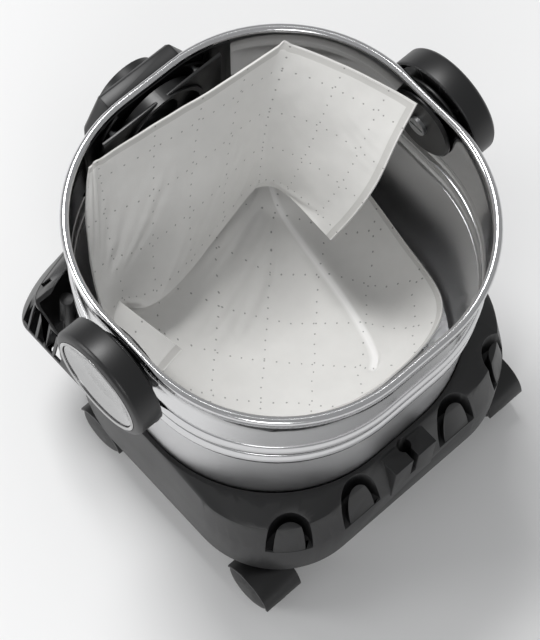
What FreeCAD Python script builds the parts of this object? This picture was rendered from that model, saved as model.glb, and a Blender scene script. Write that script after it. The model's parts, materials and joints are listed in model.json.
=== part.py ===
"""Canister wet and dry shop vacuum with its motor head lifted off: a stainless tub in a wheeled
moulded chassis, a front bumper tray, a hose inlet, two turning side latches, four twin-wheel
casters and a fleece filter bag.

+Z is up, -Y is the front with the hose inlet, +Y is the rear with the accessory posts and +-X are
the latch sides. The origin is on the floor, under the middle of the whole machine. Places are worked
out from the tub's middle, and each sub-part's placement then carries it to the origin's frame.
Sizes are millimetres.
"""
import FreeCAD, Part
import math
import os

from FreeCAD import Placement, Rotation, Vector

doc = FreeCAD.newDocument("shop_vacuum")

# ---------------------------------------------------------------- driving sizes
SIZES = {
    # tub: a rolled steel wall, square in plan with very round corners, and a welded floor pan
    "tub_half": 159, "tub_corner": 133, "tub_top": 342, "tub_floor": 98, "tub_taper": 10.6,
    "tub_wall": 1.2, "rim_radius": 3.5, "bead_depth": 2.6, "bead_half": 9,
    "bead_high": 268, "bead_low": 247,
    # chassis: the moulded base that holds the tub and carries the casters
    "base_half": 157, "base_rear": 173, "base_corner": 84, "base_bottom": 60, "base_step": 6,
    "base_band": 112, "base_shelf": 146, "base_top": 157, "base_bevel": 11, "base_wall": 4,
    "base_floor": 6, "tub_gap": 0.5, "plateau_half": 23, "plateau_top": 154, "plateau_proud": 2,
    # accessory posts at the rear, which tube ends are pushed down over
    "post_radius": 13.5, "ring_radius": 20, "post_drop": 1.5, "ring_floor": 112, "post_wall": 3.5,
    "corner_post_x": 122, "corner_post_y": 155.5, "rear_post_x": 54.5, "rear_post_y": 172,
    "cable_hole": 6, "cable_hole_y": 160,
    # front bumper tray
    "bumper_half": 157, "bumper_front": 176, "bumper_sag": 27, "bumper_rake": 24,
    "bumper_top_sag": 36, "bumper_back": 66, "bumper_corner": 12, "bumper_low": 114,
    "bumper_top": 204, "bumper_flange": 9, "bumper_width": 22, "bumper_wall": 2.5,
    "lip_height": 11, "tray_back": 112, "arm_fall_start": 122, "arm_end": 158,
    "web_height": 30, "slot_x": 138, "slot_y": 128.5,
    "window_width": 8, "window_pitch": 9.6, "window_count": 5, "window_start": 124,
    "window_slant": 16, "window_sill": 6, "window_head": 4, "column_radius": 7, "column_x": 129,
    "column_y": 115, "column_top": 180, "lug_radius": 11, "lug_top": 100,
    # hose inlet
    "port_bore": 21, "port_outer": 30, "port_height": 295, "port_end": 187, "housing_half": 54,
    "housing_front": 177, "housing_low": 214, "housing_high": 336, "housing_wall": 3.5,
    "shoulder_half": 37, "shoulder_drop": 33, "wing_half": 72, "wing_high": 283,
    "housing_chamfer": 3, "spigot_wall": 3,
    "cup_radius": 42, "cup_wall": 4, "cup_end": 137, "plate_half": 76, "plate_low": 248,
    "plate_thick": 3, "inlet_screw_x": 44, "inlet_screw_low": 258, "inlet_screw_high": 317,
    "gasket_thick": 4, "inlet_screw_radius": 2,
    # filter bag, as a plain solid
    "bag_half": 138, "bag_rear": 112, "bag_back": 138.5, "bag_low": 108, "bag_high": 326,
    "bag_front_high": 165, "bag_corner": 112, "collar_half": 62, "collar_low": 236,
    "collar_high": 337, "collar_thick": 3,
    # side latches
    "latch_height": 303, "latch_radius": 50, "latch_outer": 191, "latch_depth": 24,
    "latch_wall": 3, "dish_radius": 40, "dish_depth": 7, "pivot_radius": 4,
    "hub_radius": 30, "flange_radius": 38, "inner_plate_radius": 33, "inner_plate_thick": 3,
    "sleeve_radius": 9,
    "nut_radius": 8, "nut_thick": 5, "rib_thick": 2, "rib_count": 10,
    # twin-wheel casters
    "wheel_radius": 25, "wheel_width": 15.5, "web_width": 8, "axle_radius": 3, "hood_gap": 0.8,
    "hood_wall": 2.6, "trail": 18, "stem_radius": 4, "stem_top": 87, "caster_x": 133,
    "caster_rear": 120, "caster_front": 72, "boss_radius": 11, "boss_height": 33,
    "sleeve_wall": 1.5, "sleeve_length": 28,
    # fasteners
    "screw_radius": 2.5, "screw_head": 5.5, "tub_screw_x": 92, "tub_screw_y": 92,
    # clearances
    "run": 0.05, "seat": 0.3,
}

sheet = doc.addObject("Spreadsheet::Sheet", "sizes")
for row, (alias, value) in enumerate(SIZES.items(), start=1):
    sheet.set(f"A{row}", alias)
    sheet.set(f"B{row}", str(value))
    sheet.setAlias(f"B{row}", alias)
doc.recompute()

NODES = []


def size(alias):
    """A driving size, read back from the sheet."""
    return float(getattr(sheet, alias))


def origin_shift():
    """How far the tub's middle lies behind the middle of the whole length."""
    return (size("port_end") - size("base_rear") - size("plateau_proud")) / 2


def node(label, made):
    """Names a finished sub-part, moves it to the origin's frame and keeps it for export."""
    made.Label = label
    made.Placement = Placement(Vector(0, origin_shift(), 0), Rotation())
    NODES.append(made)
    return made


def solid_node(label, shape):
    """A sub-part whose shape is worked out from the sheet's values."""
    made = doc.addObject("Part::Feature", label)
    made.Shape = shape
    return node(label, made)


TURNS = {
    "z": Rotation(),
    "x": Rotation(Vector(0, 1, 0), 90),
    "y": Rotation(Vector(1, 0, 0), -90),
}


def place(made, at, axis):
    """Puts a primitive at three expressions, with its own Z turned to the named axis."""
    made.Placement = Placement(Vector(), TURNS[axis])
    for letter, expression in zip("xyz", at):
        made.setExpression(f"Placement.Base.{letter}", expression)
    return made


def rod(name, radius, length, at, axis="z"):
    made = doc.addObject("Part::Cylinder", name)
    made.setExpression("Radius", radius)
    made.setExpression("Height", length)
    return place(made, at, axis)


def block(name, spans, at):
    made = doc.addObject("Part::Box", name)
    for side, expression in zip(("Length", "Width", "Height"), spans):
        made.setExpression(side, expression)
    return place(made, at, "z")


def cut(name, base, tool):
    made = doc.addObject("Part::Cut", name)
    made.Base = base
    made.Tool = tool
    return made


def fuse(name, pieces):
    made = doc.addObject("Part::MultiFuse", name)
    made.Shapes = pieces
    return made


# ---------------------------------------------------------------- shared shapes
def rounded_wire(left, right, front, rear, front_corner, rear_corner, height):
    """A rectangle with round corners, anticlockwise from the front of its right side."""
    def arc(x, y, radius, start):
        circle = Part.Circle(Vector(x, y, height), Vector(0, 0, 1), radius)
        return Part.Arc(circle, math.radians(start), math.radians(start + 90)).toShape()

    def line(x0, y0, x1, y1):
        return Part.LineSegment(Vector(x0, y0, height), Vector(x1, y1, height)).toShape()

    f, r = front_corner, rear_corner
    return Part.Wire([
        line(right, front + f, right, rear - r),
        arc(right - r, rear - r, r, 0),
        line(right - r, rear, left + r, rear),
        arc(left + r, rear - r, r, 90),
        line(left, rear - r, left, front + f),
        arc(left + f, front + f, f, 180),
        line(left + f, front, right - f, front),
        arc(right - f, front + f, f, 270),
    ])


def tub_half_at(height):
    """Half the width over the outside of the tub wall at a height."""
    drop = (size("tub_top") - height) / (size("tub_top") - size("tub_floor"))
    return size("tub_half") - size("tub_taper") * drop


def tub_wire(height, grow):
    half = tub_half_at(height) + grow
    corner = size("tub_corner") - size("tub_half") + half
    return rounded_wire(-half, half, -half, half, corner, corner, height)


def tub_block(low, high, grow):
    """The tub's outer shape between two heights, grown sideways."""
    return Part.makeLoft([tub_wire(low, grow), tub_wire(high, grow)], True, True)


def round_bar(radius, start, end):
    """A cylinder between two points."""
    along = end - start
    return Part.makeCylinder(radius, along.Length, start, along)


def box(low, high):
    return Part.makeBox(high.x - low.x, high.y - low.y, high.z - low.z, low)


def turned(profile, centre, axis, degrees=360):
    """A closed outline of points turned about an axis."""
    face = Part.Face(Part.makePolygon(profile + profile[:1]))
    return face.revolve(centre, axis, degrees)


def side_name(side):
    return "right" if side > 0 else "left"


# ---------------------------------------------------------------- tub
def tub_profile():
    """The wall's section at the middle of the right side, with two beads pressed outwards."""
    x0 = -(size("tub_half") - size("tub_corner"))
    wall, depth, reach = size("tub_wall"), size("bead_depth"), size("bead_half")

    def outline(shift, levels):
        points = [Vector(tub_half_at(z) + out - shift, x0, z) for z, out in levels]
        return points

    levels = [(size("tub_floor"), 0)]
    for middle in (size("bead_low"), size("bead_high")):
        levels += [(middle - reach, 0), (middle, depth), (middle + reach, 0)]
    levels.append((size("tub_top"), 0))
    outer, inner = outline(0, levels), outline(wall, levels)
    edges = []
    for line in (outer, inner[::-1]):
        points = line if line is outer else line
        i = 0
        while i < len(points) - 1:
            here, after = points[i], points[i + 1]
            bead = i + 2 < len(points) and any(
                abs(after.z - size(name)) < 1e-6 for name in ("bead_low", "bead_high")
            )
            if bead:
                edges.append(Part.Arc(here, after, points[i + 2]).toShape())
                i += 2
            else:
                edges.append(Part.LineSegment(here, after).toShape())
                i += 1
    edges.append(Part.LineSegment(outer[-1], inner[-1]).toShape())
    edges.append(Part.LineSegment(inner[0], outer[0]).toShape())
    return Part.Face(Part.Wire(Part.__sortEdges__(edges)))


def around_tub(face):
    """Carries a section round the tub: four straight sides and four quarter turns."""
    straight = 2 * (size("tub_half") - size("tub_corner"))
    centre = Vector(straight / 2, straight / 2, 0)
    side = face.extrude(Vector(0, straight, 0))
    end = face.translated(Vector(0, straight, 0))
    corner = end.revolve(centre, Vector(0, 0, 1), 90)
    pieces = []
    for quarter in range(4):
        for piece in (side, corner):
            copy = piece.copy()
            copy.rotate(Vector(), Vector(0, 0, 1), 90 * quarter)
            pieces.append(copy)
    return pieces[0].multiFuse(pieces[1:]).removeSplitter()


def inlet_screw_places():
    return [
        (sign * size("inlet_screw_x"), size(level))
        for sign in (-1, 1)
        for level in ("inlet_screw_low", "inlet_screw_high")
    ]


def tub_screw_places():
    x, y = size("tub_screw_x"), size("tub_screw_y")
    return [(sx * x, sy * y) for sx in (-1, 1) for sy in (-1, 1)]


def make_tub():
    wall = around_tub(tub_profile())
    rim_x = size("tub_half") - size("tub_wall")
    straight = size("tub_half") - size("tub_corner")
    rim_section = Part.Face(Part.Wire(Part.makeCircle(
        size("rim_radius"), Vector(rim_x, -straight, size("tub_top") - size("rim_radius")),
        Vector(0, 1, 0),
    )))
    rim = around_tub(rim_section)
    tub = wall.fuse(rim).removeSplitter()
    far = size("tub_half") + 20
    inlet = Vector(0, 0, size("port_height"))
    tools = [round_bar(
        size("port_bore") + size("spigot_wall") + size("seat"), inlet, inlet - Vector(0, far, 0))]
    pivot = Vector(0, 0, size("latch_height"))
    tools.append(round_bar(
        size("pivot_radius") + size("seat"), pivot - Vector(far, 0, 0), pivot + Vector(far, 0, 0)))
    for x, z in inlet_screw_places():
        start = Vector(x, -size("tub_half") + 40, z)
        tools.append(round_bar(
            size("inlet_screw_radius") + size("seat"), start, start - Vector(0, 60, 0)))
    solid_node("tub_wall", tub.cut(Part.makeCompound(tools)))

    # the floor pan, seam-welded inside the foot of the wall
    floor = tub_block(
        size("tub_floor"), size("tub_floor") + size("tub_wall"),
        -size("tub_wall") - size("run"))
    holes = []
    for x, y in tub_screw_places():
        low = Vector(x, y, size("tub_floor") - 1)
        holes.append(round_bar(size("screw_radius") + size("seat"), low, low + Vector(0, 0, 6)))
    solid_node("tub_floor", floor.cut(Part.makeCompound(holes)))


# ---------------------------------------------------------------- chassis
def base_wire(height, inset, rear_inset=0):
    """The moulding's outline: it hugs the tub at the front corners and squares up at the rear."""
    half = size("base_half") - inset
    rear = size("base_rear") - inset - rear_inset
    front_corner = size("tub_corner") - 2 - inset
    rear_corner = size("base_corner") - inset
    return rounded_wire(-half, half, -half, rear, front_corner, rear_corner, height)


def base_block(inset, low, lid):
    """The chassis's outer shape: foot, upright band, bevel and a shelf that meets the tub."""
    step = size("base_bottom") + size("base_step")
    grow = size("base_wall") + size("tub_gap") - inset
    rings = [
        base_wire(low, size("base_step") + inset),
        base_wire(step, inset),
        base_wire(size("base_band") - lid, inset),
        base_wire(size("base_shelf") - lid, inset + 2, size("base_bevel") - 2),
        tub_wire(size("base_top") - lid, grow),
    ]
    tiers = [Part.makeLoft([under, over], True, True) for under, over in zip(rings, rings[1:])]
    return tiers[0].multiFuse(tiers[1:])


def caster_places():
    """The stems: (name, x, y)."""
    return [
        (f"{end}_{side_name(side)}", side * size("caster_x"), y)
        for end, y in (("rear", size("caster_rear")), ("front", -size("caster_front")))
        for side in (1, -1)
    ]


def post_places():
    """The accessory posts, corner ones and rear ones."""
    return [
        (side * size(f"{name}_post_x"), size(f"{name}_post_y"))
        for name in ("corner", "rear")
        for side in (1, -1)
    ]


def make_chassis():
    up = Vector(0, 0, 1)
    wall, bottom = size("base_wall"), size("base_bottom")
    outer = base_block(0, bottom, 0)
    cup = tub_block(
        size("tub_floor") - size("base_floor"), size("base_top") + 1, wall + size("tub_gap"))
    hollow = base_block(wall, bottom - 1, wall).cut(cup)
    shell = outer.cut(hollow)
    added = []
    for _, x, y in caster_places():
        added.append(Part.makeCylinder(
            size("boss_radius"), size("boss_height"), Vector(x, y, bottom), up))
    for x, y in post_places():
        well = Part.makeCylinder(
            size("ring_radius") + size("post_wall"), size("base_top") - bottom,
            Vector(x, y, bottom), up)
        added.append(well.common(outer))
    plateau = size("plateau_half")
    added.append(box(
        Vector(-plateau, tub_half_at(size("base_top")), size("base_band") - 10),
        Vector(plateau, size("base_rear") + size("plateau_proud"), size("plateau_top"))))
    for side in (-1, 1):
        added.append(Part.makeCylinder(
            size("lug_radius"), size("lug_top") - bottom,
            Vector(side * size("column_x"), -size("column_y"), bottom), up))
    shell = shell.multiFuse(added)
    lowered = outer.translated(Vector(0, 0, -size("post_drop")))
    rings, posts = [], []
    for x, y in post_places():
        rings.append(Part.makeCylinder(
            size("ring_radius"), 100, Vector(x, y, size("ring_floor")), up))
        posts.append(Part.makeCylinder(
            size("post_radius"), size("base_top") - size("ring_floor") + 1,
            Vector(x, y, size("ring_floor") - 1), up).common(lowered))
    shell = shell.cut(Part.makeCompound(rings)).multiFuse(posts)
    tools = [tub_block(size("tub_floor"), size("base_top") + 20, size("tub_gap"))]
    for _, x, y in caster_places():
        tools.append(Part.makeCylinder(
            size("stem_radius") + size("run") + size("sleeve_wall") + size("run"),
            size("sleeve_length"), Vector(x, y, bottom), up))
    for x, y in tub_screw_places():
        tools.append(Part.makeCylinder(
            size("screw_radius") + size("seat"), 60, Vector(x, y, bottom - 1), up))
    for side in (-1, 1):
        tools.append(Part.makeCylinder(
            size("screw_radius") + size("seat"), 60,
            Vector(side * size("column_x"), -size("column_y"), bottom - 1), up))
    tools.append(Part.makeCylinder(
        size("cable_hole"), 60, Vector(0, size("cable_hole_y"), size("base_band")), up))
    tools.append(box(
        Vector(-size("cable_hole") / 2, size("cable_hole_y"), size("base_band") + 8),
        Vector(size("cable_hole") / 2, size("base_rear") + 10, size("plateau_top") + 1)))
    chassis = shell.cut(Part.makeCompound(tools))
    solid_node("chassis", max(chassis.Solids, key=lambda piece: piece.Volume))


# ---------------------------------------------------------------- front bumper tray
def bumper_wire(inset, share, back, height):
    """The bumper's plan at one height: straight arms, round corners and a bowed front."""
    half = size("bumper_half") - inset
    shoulder = size("bumper_front") - size("bumper_sag") - inset - size("bumper_rake") * share
    sag = size("bumper_sag") + (size("bumper_top_sag") - size("bumper_sag")) * share
    corner = size("bumper_corner")
    bow = [(0.86, 0.5 - 0.28 * share), (0.7, 0.8 - 0.4 * share), (0.36, 0.96 - 0.18 * share)]
    right = [Vector(half, -shoulder + corner, height),
             Vector(half - 0.08 * corner, -shoulder + 0.35 * corner, height)]
    right += [Vector(half * part, -shoulder - sag * drop, height) for part, drop in bow]
    left = [Vector(-point.x, point.y, height) for point in reversed(right)]
    front = Part.BSplineCurve()
    front.interpolate(right + [Vector(0, -shoulder - sag, height)] + left)
    ends = [Vector(half, -back, height), Vector(-half, -back, height)]
    return Part.Wire([
        Part.LineSegment(ends[0], right[0]).toShape(),
        front.toShape(),
        Part.LineSegment(left[-1], ends[1]).toShape(),
        Part.LineSegment(ends[1], ends[0]).toShape(),
    ])


def bumper_block(inset, low, high, back):
    """The bumper's raked outer shape between two heights, inset sideways."""
    rise = size("bumper_top") - size("bumper_low")
    wires = [
        bumper_wire(inset, (height - size("bumper_low")) / rise, back, height)
        for height in (low, high)
    ]
    return Part.makeLoft(wires, True, True)


def bumper_height_at(y):
    """The height of the arms' top edge, which falls towards the rear."""
    start = size("arm_fall_start")
    share = min(max((start + y) / (start - size("bumper_back")), 0), 1)
    return size("bumper_top") - (size("bumper_top") - size("arm_end")) * share


def make_bumper():
    low, high, wall = size("bumper_low"), size("bumper_top"), size("bumper_wall")
    back = size("bumper_back")
    flange, ledge = size("bumper_flange"), size("bumper_width")
    step = high - size("lip_height")
    far = back - 20
    # the skin, with a flange along its top, a step down and a ledge inside
    skin = bumper_block(0, low, high, back).cut(bumper_block(wall, low - 1, high + 1, far))
    rim = bumper_block(1, high - wall, high, back).cut(
        bumper_block(flange, high - wall - 1, high + 1, far))
    riser = bumper_block(flange - wall, step, high, back).cut(
        bumper_block(flange, step - 1, high + 1, far))
    shelf = bumper_block(flange - wall, step - wall, step, back).cut(
        bumper_block(ledge, step - wall - 1, step + 1, far))
    tray = bumper_block(1, low, low + wall, back)
    reach = size("bumper_half") + 20
    ahead = box(Vector(-reach, -size("bumper_front") - 20, low - 1),
                Vector(reach, -size("tray_back"), high + 1))
    bumper = skin.multiFuse([rim, riser.common(ahead), shelf.common(ahead), tray.common(ahead)])
    fall_start = size("arm_fall_start")
    falling = [
        Vector(-reach, -fall_start, high), Vector(-reach, -back + 1, size("arm_end")),
        Vector(-reach, 0, size("arm_end")), Vector(-reach, 0, high + 10),
        Vector(-reach, -fall_start, high + 10), Vector(-reach, -fall_start, high)]
    bumper = bumper.cut(Part.Face(Part.makePolygon(falling)).extrude(Vector(2 * reach, 0, 0)))
    clear = tub_block(low - 10, high + 5, 3)
    added = []
    tools = [base_block(-size("seat"), size("base_bottom") - 1, -size("seat"))]
    for side in (-1, 1):
        outside = side * size("bumper_half")

        def across(depth_in, depth_out, y0, y1, z0, z1):
            ends = sorted((outside - side * depth_in, outside + side * depth_out))
            return box(Vector(ends[0], y0, z0), Vector(ends[1], y1, z1))

        # the column that the screw comes up into, tied to the skin by a web
        x, y = side * size("column_x"), -size("column_y")
        seat = size("lug_top") + size("seat")
        added.append(Part.makeCone(
            size("column_radius") + 2, size("column_radius") - 1, size("column_top") - seat,
            Vector(x, y, seat)))
        added.append(box(
            Vector(min(x, outside - side), y - 1.5, low + 1),
            Vector(max(x, outside - side), y + 1.5, low + 1 + size("web_height"))))
        tools.append(Part.makeCylinder(
            size("lug_radius") + size("seat"), size("lug_top") + size("seat") - low + 30,
            Vector(x, y, low - 30)))
        tools.append(Part.makeCylinder(size("screw_radius"), 50, Vector(x, y, low - 30)))
        # the slanting windows of the arm, with thin ribs between them
        pitch, gap = size("window_pitch"), size("window_width")
        sill = low + size("window_sill")
        for number in range(int(size("window_count"))):
            top_y = -size("window_start") + number * pitch
            head = bumper_height_at(top_y - gap / 2) - size("window_head")
            slant = size("window_slant") * (head - sill) / (high - low)
            outline = [
                Vector(outside - side * 8, top_y - gap, head),
                Vector(outside - side * 8, top_y, head),
                Vector(outside - side * 8, top_y - slant, sill),
                Vector(outside - side * 8, top_y - gap - slant, sill),
            ]
            tools.append(Part.Face(Part.makePolygon(outline + outline[:1])).extrude(
                Vector(side * 10, 0, 0)))
        # the small slot in the front's flange
        slot_x, slot_y = side * size("slot_x"), -size("slot_y")
        tools.append(box(Vector(slot_x - 4, slot_y - 1.2, high - 12),
                         Vector(slot_x + 4, slot_y + 1.2, high + 1)))
    bumper = bumper.multiFuse(added).cut(clear).cut(Part.makeCompound(tools))
    solid_node("front_bumper", max(bumper.Solids, key=lambda piece: piece.Volume))


# ---------------------------------------------------------------- hose inlet
def make_inlet():
    height, front = size("port_height"), size("housing_front")
    high, low, wall = size("housing_high"), size("housing_low"), size("housing_wall")
    axis = Vector(0, -1, 0)
    inward = size("tub_half") - 60
    beads = tub_block(
        size("bead_low") - size("bead_half") - 1, size("bead_high") + size("bead_half") + 1,
        size("bead_depth") + size("seat"))
    rim = tub_block(
        size("tub_top") - 2 * size("rim_radius") - size("seat"), size("tub_top"),
        size("rim_radius"))
    clear = tub_block(low - 20, high + 20, size("seat")).multiFuse([beads, rim])

    def slab(points, face, depth):
        """An outline of (x, z) points, mirrored in x, run from the tub out to the front."""
        right = [Vector(x, -inward, z) for x, z in points]
        left = [Vector(-x, -inward, z) for x, z in reversed(points)]
        outline = right + left
        solid = Part.Face(Part.makePolygon(outline + outline[:1])).extrude(
            Vector(0, inward - face, 0))
        edges = [edge for edge in solid.Edges
                 if all(abs(v.Point.y + face) < 1e-6 for v in edge.Vertexes)]
        return solid.makeChamfer(depth, edges)

    def shell(inset):
        top, side = high - inset, size("housing_half") - inset
        shoulder = size("shoulder_half") - inset / 2
        main = slab([(side, low + inset), (side, high - size("shoulder_drop")), (shoulder, top)],
                    front - inset, size("housing_chamfer"))
        wing, wing_top = size("wing_half") - inset, size("wing_high") - inset
        wings = slab([(wing - 8, low + inset), (wing, low + 8 + inset), (wing, wing_top - 18),
                      (wing - 8, wing_top)], front - 8 - inset, size("housing_chamfer") / 2)
        return main.fuse(wings)

    centre = Vector(0, -inward, height)
    hollow = shell(wall)
    tube = round_bar(
        size("port_outer"), centre, centre + axis * (size("port_end") - inward))
    bosses = [
        round_bar(size("inlet_screw_radius") + 3, Vector(x, -inward, z),
                  Vector(x, -front + wall, z))
        for x, z in inlet_screw_places()
    ]
    housing = shell(0).cut(hollow.cut(Part.makeCompound([tube] + bosses)))
    housing = housing.fuse(round_bar(
        size("port_outer"), Vector(0, -front + 1, height), Vector(0, -size("port_end"), height)))
    wall_y = tub_half_at(height)
    spigot_radius = size("port_bore") + size("spigot_wall")
    socket_end = wall_y + size("gasket_thick") + 14
    ring_start = wall_y + size("bead_depth") + size("seat")
    tools = [
        clear,
        round_bar(size("port_bore"), centre, centre + axis * (size("port_end") - inward + 1)),
        round_bar(spigot_radius + size("seat"), centre, Vector(0, -socket_end, height)),
        round_bar(spigot_radius + 5, centre,
                  Vector(0, -ring_start - size("gasket_thick") - size("run"), height)),
    ]
    for x, z in inlet_screw_places():
        tools.append(round_bar(
            size("inlet_screw_radius") + size("seat"), Vector(x, -inward, z),
            Vector(x, -front + wall + 6, z)))
    housing = housing.cut(Part.makeCompound(tools))
    solid_node("inlet_housing", max(housing.Solids, key=lambda piece: piece.Volume))

    # the rubber ring round the spigot, between the housing and the tub
    rod("gasket_outside", "sizes.port_bore + sizes.spigot_wall + 4.5", "sizes.gasket_thick",
        ("0", str(-ring_start - size("gasket_thick")), "sizes.port_height"), "y")
    rod("gasket_inside", "sizes.port_bore + sizes.spigot_wall + sizes.seat",
        "sizes.gasket_thick + 2",
        ("0", str(-ring_start - size("gasket_thick") - 1), "sizes.port_height"), "y")
    node("inlet_gasket", cut(
        "inlet_gasket", doc.getObject("gasket_outside"), doc.getObject("gasket_inside")))

    # the plate that backs the wall inside the tub
    plate_high = size("tub_top") - 2 * size("rim_radius")
    inner = -size("tub_wall") - size("seat")
    plate = tub_block(size("plate_low"), plate_high, inner).cut(
        tub_block(size("plate_low") - 1, plate_high + 1, inner - size("plate_thick")))
    plate = plate.common(box(
        Vector(-size("plate_half"), -size("tub_half"), size("plate_low")),
        Vector(size("plate_half"), 0, plate_high)))
    holes = [round_bar(spigot_radius + size("seat"), centre, centre + axis * 100)]
    for side in (-1, 1):
        for window in (((34, 329), (37, 334), (57, 331), (54, 317)),
                       ((42, 315), (52, 310), (52, 294))):
            outline = [Vector(side * px, -size("tub_half"), pz) for px, pz in window]
            holes.append(Part.Face(Part.makePolygon(outline + outline[:1])).extrude(
                Vector(0, size("tub_half") / 2, 0)))
    for x, z in inlet_screw_places():
        holes.append(round_bar(size("inlet_screw_radius") + size("seat"),
                               Vector(x, -inward, z), Vector(x, -front, z)))
    solid_node("inlet_plate", plate.cut(Part.makeCompound(holes)))

    # the spigot: a tube through the wall with a cup that the bag's collar fits over
    plate_face = tub_half_at(height) - size("tub_wall") - size("plate_thick") - 3
    base = Vector(0, -plate_face, height)
    cup = round_bar(size("cup_radius"), base, Vector(0, -size("cup_end"), height))
    cup = cup.fuse(round_bar(spigot_radius, base, Vector(0, -socket_end + 1, height)))
    cup = cup.cut(round_bar(
        size("cup_radius") - size("cup_wall"), base + Vector(0, size("cup_wall"), 0),
        Vector(0, -size("cup_end") + 1, height)))
    cup = cup.cut(round_bar(
        size("port_bore"), base + Vector(0, 20, 0), Vector(0, -socket_end, height)))
    solid_node("bag_spigot", cup)

    # four screws from the plate into the housing's bosses
    screws = []
    for x, z in inlet_screw_places():
        straight = size("tub_half") - size("tub_corner")
        radius = size("tub_corner") - size("tub_half") + tub_half_at(z) + inner
        radius -= size("plate_thick")
        face = straight + math.sqrt(radius ** 2 - (abs(x) - straight) ** 2)
        head = Vector(x, -face + 2.6, z)
        shank = round_bar(size("inlet_screw_radius"), head, Vector(x, -front + wall + 7, z))
        dome = round_bar(4, head, head + Vector(0, 2.4, 0))
        cross = box(head + Vector(-2.5, 1.2, -0.5), head + Vector(2.5, 3, 0.5))
        screws.append(shank.fuse(dome).cut(cross))
    solid_node("inlet_screws", Part.makeCompound(screws))


# ---------------------------------------------------------------- filter bag
def make_bag():
    half, rear, back = size("bag_half"), size("bag_rear"), size("bag_back")
    low, high, front_high = size("bag_low"), size("bag_high"), size("bag_front_high")
    profile = [
        Vector(-half, -back, low), Vector(-half, rear, low), Vector(-half, rear, front_high),
        Vector(-half, -back, high),
    ]
    wedge = Part.Face(Part.makePolygon(profile + profile[:1])).extrude(Vector(2 * half, 0, 0))
    corner = size("bag_corner")
    plan = rounded_wire(-half, half, -back, rear, corner, corner, low)
    plan = Part.Face(plan).extrude(Vector(0, 0, high - low))
    bag = wedge.common(plan)
    spigot = round_bar(
        size("cup_radius") + size("seat"), Vector(0, -size("tub_half"), size("port_height")),
        Vector(0, -size("cup_end") + size("seat") + 0.7, size("port_height")))
    solid_node("filter_bag", bag.cut(spigot))

    # the bag's collar: a stiff plate with a hole that slips over the spigot's cup
    thick = size("collar_thick")
    plate_y = "-sizes.bag_back - sizes.collar_thick - sizes.seat"
    block("collar_plate",
          ("2 * sizes.collar_half", "sizes.collar_thick", "sizes.collar_high - sizes.collar_low"),
          ("-sizes.collar_half", plate_y, "sizes.collar_low"))
    rod("collar_hole", "sizes.cup_radius + sizes.seat", "sizes.collar_thick + 2",
        ("0", plate_y + " - 1", "sizes.port_height"), "y")
    node("bag_collar", cut("bag_collar", doc.getObject("collar_plate"),
                           doc.getObject("collar_hole")))


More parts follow.
